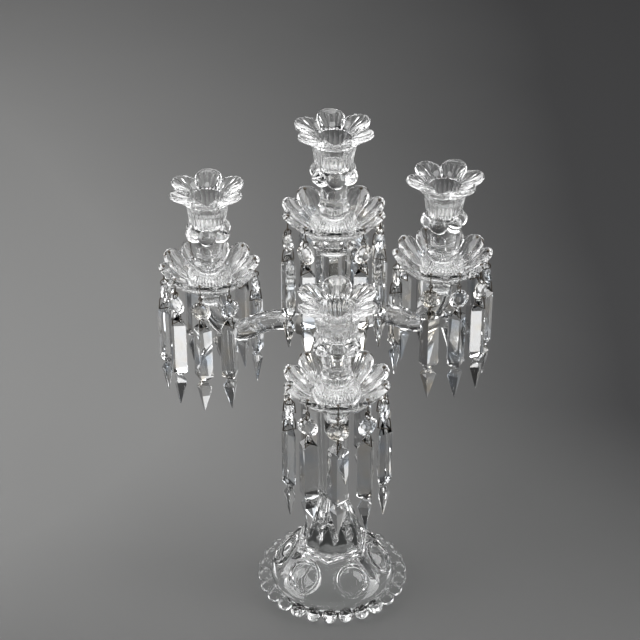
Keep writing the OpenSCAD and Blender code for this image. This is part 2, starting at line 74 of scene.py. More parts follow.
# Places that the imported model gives

def light_place(name):
    """Foot of a light's axis, in millimetres: the middle of its pan, at the pan's seat."""
    low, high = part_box(f"bobeche_{name}")
    return Vector(((low.x + high.x) / 2, (low.y + high.y) / 2, low.z)) / MM


def pendant_places(name):
    """Body name, pivot in millimetres and outward direction of each pendant of a light."""
    for joint in frame["joints"]:
        if joint["child"].startswith(f"pendant_{name}_"):
            across = joint["axis"]
            yield joint["child"], Vector(joint["pos_m"]) / MM, math.atan2(across[0], -across[1])


# Sizes and finishes that a user would change

class GirandoleSizes(bpy.types.PropertyGroup):
    """Sizes of the cut and moulded detail."""

    bead_count: IntProperty(
        name="Border beads", description="Beads round the foot", default=26, min=20, max=28)
    bead_radius: FloatProperty(
        name="Bead radius", description="Radius of a border bead",
        default=7.3 * MM, unit="LENGTH")
    medallions: IntProperty(
        name="Medallions", description="Lens medallions round the foot", default=6, min=5, max=6)
    lens_rise: FloatProperty(
        name="Lens rise", description="How far a medallion's lens bulges",
        default=3.2 * MM, unit="LENGTH")
    flutes: IntProperty(
        name="Stem flutes", description="Flutes round the stem", default=12, min=8, max=16)
    flute_depth: FloatProperty(
        name="Flute depth", description="Depth of a flute on the shaft",
        default=1.0 * MM, unit="LENGTH")
    petal_scoop: FloatProperty(
        name="Petal scoop", description="How far a pan petal's edges stand above its middle",
        default=4.5 * MM, unit="LENGTH")
    rim_radius: FloatProperty(
        name="Pan rim", description="Radius of a pan's rounded rim",
        default=2.4 * MM, unit="LENGTH")
    trumpet_ridges: IntProperty(
        name="Trumpet ridges", description="Ridges round a nozzle's trumpet", default=24)
    cabochon_radius: FloatProperty(
        name="Cabochon radius", description="Radius of a nozzle's cabochons",
        default=8.5 * MM, unit="LENGTH")
    wire_radius: FloatProperty(
        name="Wire radius", description="Radius of the hooks, rings and links",
        default=0.5 * MM, unit="LENGTH")
    pendant_twist: FloatProperty(
        name="Pendant twist", description="Largest turn of a hanging pendant about its length",
        default=math.radians(9), subtype="ANGLE")


class GirandoleFinish(bpy.types.PropertyGroup):
    """Colours and optical values of the finishes."""

    glass_colour: FloatVectorProperty(
        name="Crystal", description="Tint of the clear crystal", subtype="COLOR",
        size=3, default=(0.997, 1, 0.998))
    glass_ior: FloatProperty(
        name="Crystal IOR", description="Refractive index of lead crystal", default=1.545)
    wire_colour: FloatVectorProperty(
        name="Wire", description="Tarnished wire of hooks and links", subtype="COLOR",
        size=3, default=(0.05, 0.042, 0.036))
    plate_colour: FloatVectorProperty(
        name="Silver plate", description="Plated hub and ferrules", subtype="COLOR",
        size=3, default=(0.36, 0.355, 0.345))
    steel_colour: FloatVectorProperty(
        name="Steel", description="Rod inside the hub", subtype="COLOR",
        size=3, default=(0.48, 0.49, 0.5))
    floor_colour: FloatVectorProperty(
        name="Floor", description="Floor and backdrop", subtype="COLOR",
        size=3, default=(0.2, 0.2, 0.197))


def sizes():
    return bpy.context.scene.girandole_sizes


def finish():
    return bpy.context.scene.girandole_finish


# Profiles

def curve(points, per_span=4):
    """Points of a smooth curve through the given ones."""
    ends = [points[0], *points, points[-1]]
    found = []
    for a, b, c, d in zip(ends, ends[1:], ends[2:], ends[3:]):
        for i in range(per_span):
            t = i / per_span
            found.append(tuple(
                q + 0.5 * t * (r - p + t * (2 * p - 5 * q + 4 * r - s + t * (3 * (q - r) + s - p)))
                for p, q, r, s in zip(a, b, c, d)))
    return found + [points[-1]]


def straight(points, step):
    """The same corners, with the stretches between them cut into steps."""
    found = [points[0]]
    for a, b in zip(points, points[1:]):
        count = max(1, round(math.dist(a, b) / step))
        found += [tuple(p + (q - p) * i / count for p, q in zip(a, b)) for i in range(1, count + 1)]
    return found


def arc(centre, radius, start, end, count):
    """Points of an arc between two angles in degrees."""
    angles = [math.radians(start + (end - start) * i / count) for i in range(count + 1)]
    return [(centre[0] + radius * math.cos(a), centre[1] + radius * math.sin(a)) for a in angles]


def blend(low, high, value):
    """0 below low, 1 above high and a smooth step between them."""
    t = min(max((value - low) / (high - low), 0), 1)
    return t * t * (3 - 2 * t)


def phase(angle, count, turn=0.0):
    """Place of an angle within one of count equal parts, from -1 to 1."""
    part = TURN / count
    return 2 * (((angle - math.radians(turn)) / part + 0.5) % 1) - 1


def rib(across, count):
    """Round ribs across a petal: 0 in the valleys between them and 1 on their crests."""
    return abs(math.cos(math.pi * count * across / 2 + math.pi / 2))


def lobe(middle, radius, angle):
    """Distance from the axis to a round lobe, seen at an angle from the lobe's own direction."""
    across = radius * radius - (middle * math.sin(angle)) ** 2
    return middle * math.cos(angle) + math.sqrt(max(across, 0))


# Mesh tools

def revolve(profile, steps, closed=False):
    """Skin of a profile of (radius, height) points spun about the upright axis."""
    bm = bmesh.new()
    verts = [bm.verts.new((r, 0, z)) for r, z in profile]
    edges = [bm.edges.new(pair) for pair in zip(verts, verts[1:])]
    if closed:
        edges.append(bm.edges.new((verts[-1], verts[0])))
    bmesh.ops.spin(bm, geom=verts + edges, cent=(0, 0, 0), axis=(0, 0, 1), angle=TURN,
                   steps=steps, use_merge=True)
    bmesh.ops.remove_doubles(bm, verts=bm.verts, dist=1e-3)
    bmesh.ops.recalc_face_normals(bm, faces=bm.faces)
    return bm


def reshape(bm, rule):
    """Moves every vertex to where rule(radius, angle, height) puts it, in the same terms."""
    for vert in bm.verts:
        radius = math.hypot(vert.co.x, vert.co.y)
        angle = math.atan2(vert.co.y, vert.co.x)
        radius, height = rule(radius, angle, vert.co.z)
        vert.co = (radius * math.cos(angle), radius * math.sin(angle), height)


def extrude_to(bm, ring, places):
    """Draws a ring of vertices out to new places and returns the new ring."""
    edges = [bm.edges.get(pair) for pair in zip(ring, ring[1:] + ring[:1])]
    made = bmesh.ops.extrude_edge_only(bm, edges=edges)["geom"]
    new = {part for part in made if isinstance(part, bmesh.types.BMVert)}
    drawn = [next(e.other_vert(v) for e in v.link_edges if e.other_vert(v) in new) for v in ring]
    for vert, place in zip(drawn, places):
        vert.co = place
    return drawn


def loft(rings, bm=None):
    """Closed skin over a row of rings that have the same number of points."""
    bm = bm or bmesh.new()
    ring = [bm.verts.new(place) for place in rings[0]]
    bm.faces.new(ring)
    for places in rings[1:]:
        ring = extrude_to(bm, ring, places)
    bm.faces.new(ring)
    return bm


def round_ring(centre, heading, radius, sides):
    """Circle about a centre in the plane of X and Z, square to a heading from +X to +Z."""
    up = Vector((-math.sin(heading), 0, math.cos(heading)))
    across = Vector((0, 1, 0))
    angles = [TURN * i / sides for i in range(sides)]
    return [centre + radius * (up * math.cos(a) + across * math.sin(a)) for a in angles]


def wire(bm, path, radius, sides=8, closed=False):
    """Round wire along a path in the plane of X and Z."""
    path = [Vector((x, 0, z)) for x, z in path]
    rings = []
    for i, point in enumerate(path):
        before = path[i - 1] if i or closed else point
        after = path[(i + 1) % len(path)] if i + 1 < len(path) or closed else point
        run = after - before
        rings.append(round_ring(point, math.atan2(run.z, run.x), radius, sides))
    if not closed:
        return loft(rings, bm)
    first = ring = [bm.verts.new(place) for place in rings[0]]
    for a, b in zip(ring, ring[1:] + ring[:1]):
        bm.edges.new((a, b))
    for places in rings[1:]:
        ring = extrude_to(bm, ring, places)
    edges = [bm.edges.get(pair) for r in (first, ring) for pair in zip(r, r[1:] + r[:1])]
    bmesh.ops.bridge_loops(bm, edges=edges)
    return bm


def join(bm, part, matrix):
    """Moves a part to its place and adds it to a mesh."""
    bmesh.ops.transform(part, matrix=matrix, verts=part.verts)
    carrier = bpy.data.meshes.new("part")
    part.to_mesh(carrier)
    part.free()
    bm.from_mesh(carrier)
    bpy.data.meshes.remove(carrier)


def placed(bm, place, turn=0.0):
    """Turns a mesh about the upright axis and moves it to its place."""
    bmesh.ops.transform(bm, matrix=Matrix.Translation(place) @ Matrix.Rotation(turn, 4, "Z"),
                        verts=bm.verts)
    return bm


def make_piece(name, bm, body, material, nodes=(), crease=35, smooth=True, levels=0):
    """Finishes a mesh in millimetres as a piece that rides on a body."""
    bmesh.ops.remove_doubles(bm, verts=bm.verts, dist=1e-3)
    bmesh.ops.recalc_face_normals(bm, faces=bm.faces)
    bmesh.ops.scale(bm, vec=(MM, MM, MM), verts=bm.verts)
    for face in bm.faces:
        face.smooth = smooth
    for edge in bm.edges:
        edge.smooth = edge.calc_face_angle(0) < math.radians(crease)
    mesh = bpy.data.meshes.new(name)
    bm.to_mesh(mesh)
    bm.free()
    mesh.materials.append(material)
    piece = bpy.data.objects.new(name, mesh)
    bpy.context.scene.collection.objects.link(piece)
    if levels:
        rounding = piece.modifiers.new("Rounding", "SUBSURF")
        rounding.levels = rounding.render_levels = levels
    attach(piece, body)
    if nodes:
        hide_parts(*nodes)
    return piece


# Finishes

class Value:
    """A socket of a finish, so that shader maths reads as plain expressions."""

    def __init__(self, finish, socket):
        self.finish = finish
        self.socket = socket

    def _math(self, operation, first, second):
        return self.finish.node("ShaderNodeMath", {"operation": operation}, {0: first, 1: second})

    def __add__(self, other):
        return self._math("ADD", self, other)

    __radd__ = __add__

    def __mul__(self, other):
        return self._math("MULTIPLY", self, other)

    __rmul__ = __mul__


class Finish:
    """Node tree of one material, or of the world."""

    def __init__(self, block):
        block.use_nodes = True
        self.block = block
        self.tree = block.node_tree
        self.tree.nodes.clear()

    def node(self, kind, settings=None, inputs=None, output=0):
        """Adds a node with its settings and inputs, and returns one of its outputs."""
        node = self.tree.nodes.new(kind)
        for key, value in (settings or {}).items():
            if key == "stops":
                stops = node.color_ramp.elements
                for i, (place, colour) in enumerate(value):
                    stop = stops[i] if i < len(stops) else stops.new(place)
                    stop.position, stop.color = place, colour
            else:
                setattr(node, key, value)
        for key, value in (inputs or {}).items():
            if isinstance(value, Value):
                self.tree.links.new(value.socket, node.inputs[key])
            else:
                node.inputs[key].default_value = value
        return Value(self, node.outputs[output])

    def noise(self, scale, detail=2.0):
        """Cloudy pattern from 0 to 1 on the piece's own coordinates."""
        place = self.node("ShaderNodeTexCoord", output="Object")
        return self.node("ShaderNodeTexNoise", {}, {
            "Vector": place, "Scale": scale, "Detail": detail})

    def mix(self, share, first, second, blend_type="MIX"):
        """Colour between two others."""
        return self.node("ShaderNodeMix", {"data_type": "RGBA", "blend_type": blend_type}, {
            0: share, 6: first, 7: second}, output=2)

    def span(self, value, low, high, at_low, at_high):
        """Straight ramp from one value to another, held at its ends."""
        return self.node("ShaderNodeMapRange", {}, {
            "Value": value, "From Min": low, "From Max": high, "To Min": at_low, "To Max": at_high})

    def bump(self, height, strength, distance):
        """Surface relief of a height in metres."""
        return self.node("ShaderNodeBump", {}, {
            "Height": height, "Strength": strength, "Distance": distance})

    def surface(self, shader, output="ShaderNodeOutputMaterial"):
        """Sends a shader to the output and returns the finished material or world."""
        end = self.tree.nodes.new(output)
        self.tree.links.new(shader.socket, end.inputs["Surface"])
        return self.block


def rgba(colour):
    return (*colour, 1.0)


def light_passing(look, shader):
    """Lets lamp light through a glass, so that it casts a pale shadow."""
    shadow = look.node("ShaderNodeLightPath", output="Is Shadow Ray")
    clear = look.node("ShaderNodeBsdfTransparent", {}, {"Color": (0.66, 0.67, 0.67, 1)})
    return look.node("ShaderNodeMixShader", {}, {0: shadow, 1: shader, 2: clear})


def moulded_crystal():
    """Fire-polished crystal with the slight waves that the mould leaves."""
    look = Finish(bpy.data.materials.new("Moulded crystal"))
    waves = look.bump(look.noise(40, 1.0), 0.05, 0.001)
    smear = look.noise(22) * 0.006
    glass = look.node("ShaderNodeBsdfPrincipled", {}, {
        "Base Color": rgba(finish().glass_colour), "Roughness": smear, "Normal": waves,
        "IOR": finish().glass_ior, "Transmission Weight": 1.0})
    return look.surface(light_passing(look, glass))


def cut_crystal():
    """Polished cut crystal with flat bright facets, and warm and cool patches painted into its
    colour for the rainbow fire of dispersion.
    """
    look = Finish(bpy.data.materials.new("Cut crystal"))
    smear = look.noise(60) * 0.004
    clear = rgba(finish().glass_colour)
    # Painted fire: warm and cool tints in patches stand in for the colours that dispersion splits
    # out of the light.
    painted_fire_tint = look.node("ShaderNodeValToRGB", {"stops": [
        (0.3, (1, 0.92, 0.79, 1)), (0.42, clear), (0.56, clear), (0.68, (0.82, 0.9, 1, 1))]},
        {"Fac": look.noise(42)})
    glass = look.node("ShaderNodeBsdfPrincipled", {}, {
        "Base Color": painted_fire_tint, "Roughness": smear,
        "IOR": finish().glass_ior + 0.02, "Transmission Weight": 1.0})
    return look.surface(light_passing(look, glass))


def tarnished_wire():
    """Dull brown wire with a fine grain."""
    look = Finish(bpy.data.materials.new("Tarnished wire"))
    grain = look.noise(900, 3.0)
    colour = look.mix(grain, rgba(finish().wire_colour), (0.16, 0.13, 0.1, 1))
    metal = look.node("ShaderNodeBsdfPrincipled", {}, {
        "Base Color": colour, "Metallic": 0.9, "Roughness": 0.3 + grain * 0.3,
        "Normal": look.bump(grain, 0.3, 0.0001)})
    return look.surface(metal)


def silver_plate():
    """Clouded plate with hairline scratches."""
    look = Finish(bpy.data.materials.new("Silver plate"))
    cloud = look.noise(70, 4.0)
    scratch = look.noise(1500, 2.0)
    colour = look.mix(cloud * 0.6, rgba(finish().plate_colour), (0.2, 0.185, 0.16, 1))
    metal = look.node("ShaderNodeBsdfPrincipled", {}, {
        "Base Color": colour, "Metallic": 1.0, "Roughness": 0.3 + cloud * 0.25,
        "Normal": look.bump(scratch, 0.08, 0.00005)})
    return look.surface(metal)


def threaded_steel():
    """Bright rod with a thread in relief."""
    look = Finish(bpy.data.materials.new("Threaded steel"))
    place = look.node("ShaderNodeTexCoord", output="Object")
    thread = look.node("ShaderNodeTexWave", {"bands_direction": "Z"}, {
        "Vector": place, "Scale": 250.0}, output="Fac")
    metal = look.node("ShaderNodeBsdfPrincipled", {}, {
        "Base Color": rgba(finish().steel_colour), "Metallic": 1.0,
        "Roughness": 0.28 + look.noise(300) * 0.2, "Normal": look.bump(thread, 0.6, 0.0005)})
    return look.surface(metal)


def floor_with_painted_shade():
    """Matt floor with painted shade: darker to the right and to the back, where the light on the
    floor falls off, with a faint mottle.
    """
    look = Finish(bpy.data.materials.new("Floor with painted shade"))
    place = look.node("ShaderNodeTexCoord", output="Object")
    right = look.node("ShaderNodeSeparateXYZ", {}, {"Vector": place}, output="X")
    back = look.node("ShaderNodeSeparateXYZ", {}, {"Vector": place}, output="Y")
    # Painted shade: these ramps darken the floor's colour towards the right and the back, in place
    # of light that falls off there.
    painted_shade_to_right = look.span(back, -0.15, 0.3, 0.0, 2.3)
    painted_shade_taper = look.span(back, 0.0, 1.4, 1.0, 0.37)
    painted_shade_to_back = look.span(back, 0.3, 1.4, 0.0, 0.4)
    mottle = look.noise(3, 3.0) * 0.1
    fall = look.node("ShaderNodeClamp", {}, {
        "Value": 0.28 + right * painted_shade_to_right * painted_shade_taper + painted_shade_to_back + mottle})
    # The darker colour is the painted shade, mixed in by the share above.
    colour = look.mix(fall, rgba(finish().floor_colour), (0.045, 0.045, 0.046, 1))
    return look.surface(look.node("ShaderNodeBsdfPrincipled", {}, {
        "Base Color": colour, "Roughness": 0.9, "Specular IOR Level": 0.1}))


def card(name, level):
    """Matt card of one grey."""
    look = Finish(bpy.data.materials.new(name))
    return look.surface(look.node("ShaderNodeBsdfPrincipled", {}, {
        "Base Color": (level, level, level, 1), "Roughness": 0.8 + look.noise(80) * 0.1}))


def white_card():
    return card("White card", 0.62)


def black_card():
    return card("Black card", 0.012)


def studio_room():
    """Room round the stage: a pale ceiling, dark behind the camera, plain grey where it shows."""
    look = Finish(bpy.data.worlds.new("Studio room"))
    facing = look.node("ShaderNodeTexCoord", output="Generated")
    ahead = look.node("ShaderNodeSeparateXYZ", {}, {"Vector": facing}, output="Y")
    above = look.node("ShaderNodeSeparateXYZ", {}, {"Vector": facing}, output="Z")
    ceiling = look.node("ShaderNodeValToRGB", {"stops": [
        (0.5, (0.02, 0.02, 0.021, 1)), (0.9, (0.3, 0.3, 0.305, 1))]}, {"Fac": above * 0.5 + 0.5})
    depth = look.node("ShaderNodeValToRGB", {"stops": [
        (0.25, (0.05, 0.05, 0.05, 1)), (0.5, (1, 1, 1, 1))]}, {"Fac": ahead * 0.5 + 0.5})
    colour = look.mix(1.0, ceiling, depth, "MULTIPLY")
    seen = look.node("ShaderNodeLightPath", output="Is Camera Ray")
    shown = look.mix(seen, colour, (0.1, 0.1, 0.1, 1))
    room = look.node("ShaderNodeBackground", {}, {"Color": shown})
    return look.surface(room, "ShaderNodeOutputWorld")


MATERIALS = {}


def material(make):
    """The material that a maker gives, made once."""
    if make.__name__ not in MATERIALS:
        MATERIALS[make.__name__] = make()
    return MATERIALS[make.__name__]


# Foot and stem

RIM_RING, RIM_LEVEL = 67.4, 7.0
BEAD_TURN = -92.6
MEDALLION_TURN = -6.5
MEDALLION_PLACE = (46.0, 0, 31.0)
MEDALLION_TILT = math.radians(48)
MEDALLION_EDGE = 18.0
LENS_EDGE = 11.3
HOLLOW_TOP = 36.0
DOME_FOOT = 13.0
STEP_LEVEL = 46.0
STEP_EDGE = 33.0
FOOT_TOP = 52.0
STEM_ROOT = 29.2
STEM_CORE = 12.0
WAIST = 110.0
SHOULDER = 231.0
PEDESTAL_STEPS = 360


def pedestal_profile():
    """Outline of foot and stem, from the hollow under the foot to the stem's flat top."""
    hollow = curve([(0, HOLLOW_TOP), (14.5, 35.5), (26, 29.5), (36.75, 19.8), (44, 9), (48, 4),
                    (54, 0)], 3)
    rest = straight([(54, 0), (61, 0)], 3)[1:]
    rim = curve([(62, 0.5), (62.8, 2.2), (62.8, 4.4), (62, 5.8), (61, 6)], 3)
    band = curve([(60.6, 6.6), (61.6, 8.4), (61.4, 10.4), (60.2, 11.6)], 3)
    dome = straight(curve([(60, 12.2), (59.2, 15), (56.6, 21.5), (51.2, 30), (45, 38.2),
                           (39.2, 45.2)], 3), 1.2)
    steps = [(38.3, STEP_LEVEL), (36.4, STEP_LEVEL), (35.6, 46.5), (35.5, 48.2), (34.8, 49),
             (34.3, 49), (33.6, 49.5), (33.5, 51.2), (32.8, FOOT_TOP), (31, FOOT_TOP),
             (STEM_ROOT, FOOT_TOP)]
    flare = straight(curve([(28.3, 52.3), (28.6, 56), (27.6, 66), (26.2, 73), (22, 84), (17.5, 95),
                            (14.5, 104), (13.1, WAIST)], 3), 1.6)
    shaft = straight([(13.1, WAIST), (17.5, SHOULDER)], 6)[1:]
    head = curve([(17.5, SHOULDER), (18.6, 237), (16.4, 242), (14.2, 246), (13.7, 250),
                  (15.6, 253.4), (18, 255)], 3)[1:]
    top = [(18, 264.6), (17.6, 265), (9, 265), (0, 265)]
    return hollow + rest + rim + band + dome + steps + flare + shaft + head + top


def medallion_height(reach):
    """Height of a medallion above its plane at a distance from its middle."""
    def ring(middle, half, base, rise):
        off = (reach - middle) / half
        return base + rise * math.sqrt(max(1 - off * off, 0))
    lens = 1.4 + sizes().lens_rise / MM * (1 - (reach / LENS_EDGE) ** 2)
    return max(0.6, lens, ring(13.4, 1.3, 0.6, 1.6), ring(16.4, 1.6, 0.6, 2.2))


def set_medallions(bm):
    """Lets the ringed lenses into round openings in the dome."""
    reaches = [MEDALLION_EDGE * i / 48 for i in range(49)]
    lens = revolve([(reach, medallion_height(reach)) for reach in reaches], 72)
    for i in range(sizes().medallions):
        out = math.radians(MEDALLION_TURN) + TURN * i / sizes().medallions
        stand = (Matrix.Rotation(out, 4, "Z") @ Matrix.Translation(MEDALLION_PLACE)
                 @ Matrix.Rotation(MEDALLION_TILT, 4, "Y"))
        to_lens = stand.inverted()
        opened = []
        for vert in bm.verts:
            spot = to_lens @ vert.co
            inside = math.hypot(spot.x, spot.y) < MEDALLION_EDGE + 0.5
            on_dome = abs(spot.z) < 6 and vert.co.z < STEP_LEVEL - 0.4
            if inside and on_dome:
                opened.append(vert)
        bmesh.ops.delete(bm, geom=opened, context="VERTS")
        join(bm, lens.copy(), stand)
        bmesh.ops.bridge_loops(bm, edges=[edge for edge in bm.edges if edge.is_boundary])
    lens.free()


def in_hollow(radius, height):
    """Whether a point of the foot lies on the hollow under it."""
    return height < HOLLOW_TOP + 0.1 and radius < min(40, 37 - (height - 20) * 1.2)


def pedestal_rule(radius, angle, height):
    """A side for each medallion on the dome and its steps, flutes on the stem."""
    if height < DOME_FOOT or radius < STEM_CORE or height > SHOULDER + 4:
        return radius, height
    if height <= FOOT_TOP:
        if radius < STEM_ROOT + 0.3 or in_hollow(radius, height):
            return radius, height
        side = phase(angle, sizes().medallions, MEDALLION_TURN) * math.pi / sizes().medallions
        flat = math.cos(math.pi / sizes().medallions) / math.cos(side)
        share = blend(16, STEP_LEVEL, height)
        if height == FOOT_TOP or radius < STEP_EDGE:
            share = blend(STEM_ROOT, STEP_EDGE, radius)
        return radius * (1 + share * (flat - 1)), height
    across = phase(angle, sizes().flutes, 180 / sizes().flutes)
    depth = sizes().flute_depth / MM * (1 + 0.6 * (1 - blend(70, WAIST + 10, height)))
    open_high = 1 - blend(0, 5, height - SHOULDER + 2 + 5 * across * across)
    return radius - depth * (1 - across * across) * open_high, height


class GIRANDOLE_OT_pedestal(bpy.types.Operator):
    """Foot and stem, one clear block of glass with a beaded border and a fluted shaft"""
    bl_idname = "girandole.pedestal"
    bl_label = "Foot and Stem"

    def execute(self, context):
        bm = revolve(pedestal_profile(), PEDESTAL_STEPS)
        bmesh.ops.rotate(bm, cent=(0, 0, 0), verts=bm.verts,
                         matrix=Matrix.Rotation(math.radians(MEDALLION_TURN), 3, "Z"))
        reshape(bm, pedestal_rule)
        set_medallions(bm)
        make_piece("pedestal", bm, "root", material(moulded_crystal), ["foot", "stem"])
        self.beads()
        return {"FINISHED"}

    def beads(self):
        """Round studs on the foot's rim, flattened where they touch the table."""
        bm = bmesh.new()
        stand = Matrix.Translation((RIM_RING, 0, RIM_LEVEL))
        for i in range(sizes().bead_count):
            out = math.radians(BEAD_TURN) + TURN * i / sizes().bead_count
            bmesh.ops.create_uvsphere(
                bm, u_segments=28, v_segments=20, radius=sizes().bead_radius / MM,
                matrix=Matrix.Rotation(out, 4, "Z") @ stand)
        for vert in bm.verts:
            vert.co.z = max(vert.co.z, 0)
        make_piece("border_beads", bm, "root", material(moulded_crystal))


# Column and arms

SOCKET_RADIUS = 7.3
SOCKET_DEPTH = 22.0
CUP_EDGE = [(13.8, -5), (14.8, -2), (13.8, 0), (SOCKET_RADIUS + 0.4, 0), (SOCKET_RADIUS, -0.4),
            (SOCKET_RADIUS, -SOCKET_DEPTH)]
COLUMN_PANELS = 12
COLUMN_RADIUS = 16.5
COLUMN_FOOT = [(0, 0), (17.6, 0), (18, 0.4), (18, 8.5), (16.6, 11.4), (COLUMN_RADIUS, 12.4)]
COLUMN_HEAD = [(16.9, -6.2), (19.3, -5), (20, -3.6), (20, -2.2), (19, -0.8), (15.6, 0.3)]


class GIRANDOLE_OT_column(bpy.types.Operator):
    """Panelled column between the hub and the centre light"""
    bl_idname = "girandole.column"
    bl_label = "Column"

    def execute(self, context):
        low, high = (corner.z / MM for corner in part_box("upper_column"))
        collar = high - 10
        foot = [(r, low + z) for r, z in COLUMN_FOOT]
        shaft = straight([foot[-1], (COLUMN_RADIUS, collar - 7)], 6)[1:]
        head = [(r, collar + z) for r, z in COLUMN_HEAD]
        cup = [(r, high + z) for r, z in CUP_EDGE]
        bm = revolve(foot + shaft + curve(head, 2) + cup + [(0, high - SOCKET_DEPTH)], 96)

        def panels(radius, angle, height):
            if not low + 12 < height < collar - 6.5 or radius < 12:
                return radius, height
            side = phase(angle, COLUMN_PANELS) * math.pi / COLUMN_PANELS
            return radius * math.cos(math.pi / COLUMN_PANELS) / math.cos(side), height

        reshape(bm, panels)
        make_piece("column", bm, "root", material(moulded_crystal), ["upper_column"],
                   crease=20)
        return {"FINISHED"}


class GIRANDOLE_OT_arms(bpy.types.Operator):
    """Three swan-neck arms, each with a cup and a socket at its outer end"""
    bl_idname = "girandole.arms"
    bl_label = "Arms"

    root_start, root_end = 28.0, 35.0
    root_level, low_level = 296.0, 269.0
    root_radius, elbow_radius = 8.75, 10.75
    bend = 26.0
    sides = 32

    def stations(self, reach, seat):
        """Distance out, height, heading and radius of the rings along an arm."""
        run = reach - self.bend - self.root_end
        fall = self.root_level - self.low_level
        turn = 2 * math.atan2(fall, run)
        sweep = run / math.sin(turn) - self.bend
        found = [(self.root_start, self.root_level, 0, self.root_radius)]
        for i in range(13):
            a = turn * i / 12
            thick = self.root_radius + (self.elbow_radius - self.root_radius) * i / 12
            found.append((self.root_end + sweep * math.sin(a),
                          self.root_level - sweep * (1 - math.cos(a)), -a, thick))
        for i in range(1, 21):
            a = (math.pi / 2 + turn) * i / 20 - turn
            found.append((reach - self.bend + self.bend * math.sin(a),
                          self.low_level + self.bend * (1 - math.cos(a)), a, self.elbow_radius))
        neck = curve([(10.8, -15.5), (11.3, -13), (12.4, -9), (13.8, -5)], 3)[:-1]
        found += [(reach, seat + z, math.pi / 2, r) for r, z in neck + CUP_EDGE]
        return found

    def execute(self, context):
        for name in ARM_NAMES:
            place = light_place(name)
            rings = [round_ring(Vector((x, 0, z)), heading, r, self.sides)
                     for x, z, heading, r in self.stations(math.hypot(place.x, place.y), place.z)]
            bm = placed(loft(rings), (0, 0, 0), math.atan2(place.y, place.x))
            make_piece(f"arm_{name}_glass", bm, "root", material(moulded_crystal),
                       [f"arm_{name}"])
        return {"FINISHED"}


# Drip pans

PAN_SEAT = 15.0
PAN_TIP = 49.2
PAN_RISE = 26.5
PAN_HALF_WALL, PETAL_HALF_WALL = 1.6, 1.25
PAN_RIBS, PAN_RIB_DEPTH = 6, 0.8
PAN_SCOOP_FROM = 21.5
PAN_PETAL_MIDDLE, PAN_PETAL_RADIUS = 36.7, 12.5
STEPS_PER_PETAL = 24
HOLE_RING = 43.5


def pan_height(radius):
    """Height of the pan's middle surface above its lowest, by radius."""
    return PAN_RISE * (max(radius - PAN_SEAT, 0) / (PAN_TIP - PAN_SEAT)) ** 2


def pan_profile():
    """Closed outline of the wall at the middle of a petal, thickened at its rim."""
    rim = sizes().rim_radius / MM
    outside, inside = [], []
    stations = [SOCKET_RADIUS, 11, PAN_SEAT - 1] + [PAN_SEAT + 2.2 * i for i in range(15)]
    for radius in stations:
        slope = math.atan(2 * PAN_RISE * max(radius - PAN_SEAT, 0) / (PAN_TIP - PAN_SEAT) ** 2)
        share = max(radius - PAN_SEAT, 0) / (PAN_TIP - PAN_SEAT)
        half = PAN_HALF_WALL - (PAN_HALF_WALL - PETAL_HALF_WALL) * blend(0, 0.6, share)
        half += (rim - PETAL_HALF_WALL) * blend(0.72, 0.95, share)
        off = Vector((-math.sin(slope), math.cos(slope))) * half
        middle = Vector((radius, PAN_HALF_WALL + pan_height(radius)))
        outside.append(tuple(middle - off))
        inside.append(tuple(middle + off))
    tilt = math.degrees(slope)
    cap = arc(middle, half, tilt - 90, tilt + 90, 6)[1:-1]
    return outside + cap + inside[::-1]


def pan_rule(radius, angle, height):
    """Ten scooped petals with a ridge between each two, ribbed underneath."""
    across = phase(angle, PETALS)
    edge = lobe(PAN_PETAL_MIDDLE, PAN_PETAL_RADIUS, across * math.pi / PETALS)
    drawn = radius
    if radius > PAN_SEAT:
        drawn = PAN_SEAT + (radius - PAN_SEAT) * (edge - PAN_SEAT) / (PAN_TIP - PAN_SEAT)
    share = max(radius - PAN_SCOOP_FROM, 0) / (PAN_TIP - PAN_SCOOP_FROM)
    scoop = sizes().petal_scoop / MM * share * across * across
    if height < PAN_HALF_WALL + pan_height(radius):
        reach = blend(0.05, 0.3, share) * (1 - blend(0.82, 0.95, share))
        scoop -= rib(across, PAN_RIBS) * PAN_RIB_DEPTH * reach
    return drawn, height + pan_height(drawn) - pan_height(radius) + scoop


def crease_ridges(bm):
    """Keeps the ridges between the petals sharp under rounding."""
    sharp = bm.edges.layers.float.new("crease_edge")
    for edge in bm.edges:
        on_ridge = all(
            math.hypot(v.co.x, v.co.y) > PAN_SEAT + 4
            and abs(phase(math.atan2(v.co.y, v.co.x), PETALS)) > 0.99 for v in edge.verts)
        if on_ridge:
            edge[sharp] = 0.8


class GIRANDOLE_OT_drip_pans(bpy.types.Operator):
    """Four petalled drip pans"""
    bl_idname = "girandole.drip_pans"
    bl_label = "Drip Pans"

    def execute(self, context):
        pan = revolve(pan_profile(), PETALS * STEPS_PER_PETAL, closed=True)
        bmesh.ops.rotate(pan, cent=(0, 0, 0), verts=pan.verts,
                         matrix=Matrix.Rotation(math.pi / PETALS, 3, "Z"))
        reshape(pan, pan_rule)
        crease_ridges(pan)
        for name in LIGHT_NAMES:
            direction = next(pendant_places(name))[2]
            make_piece(f"drip_pan_{name}", placed(pan.copy(), light_place(name), direction),
                       f"bobeche_{name}", material(moulded_crystal), [f"bobeche_{name}"],
                       crease=60, levels=1)
        pan.free()
        return {"FINISHED"}


# Nozzles

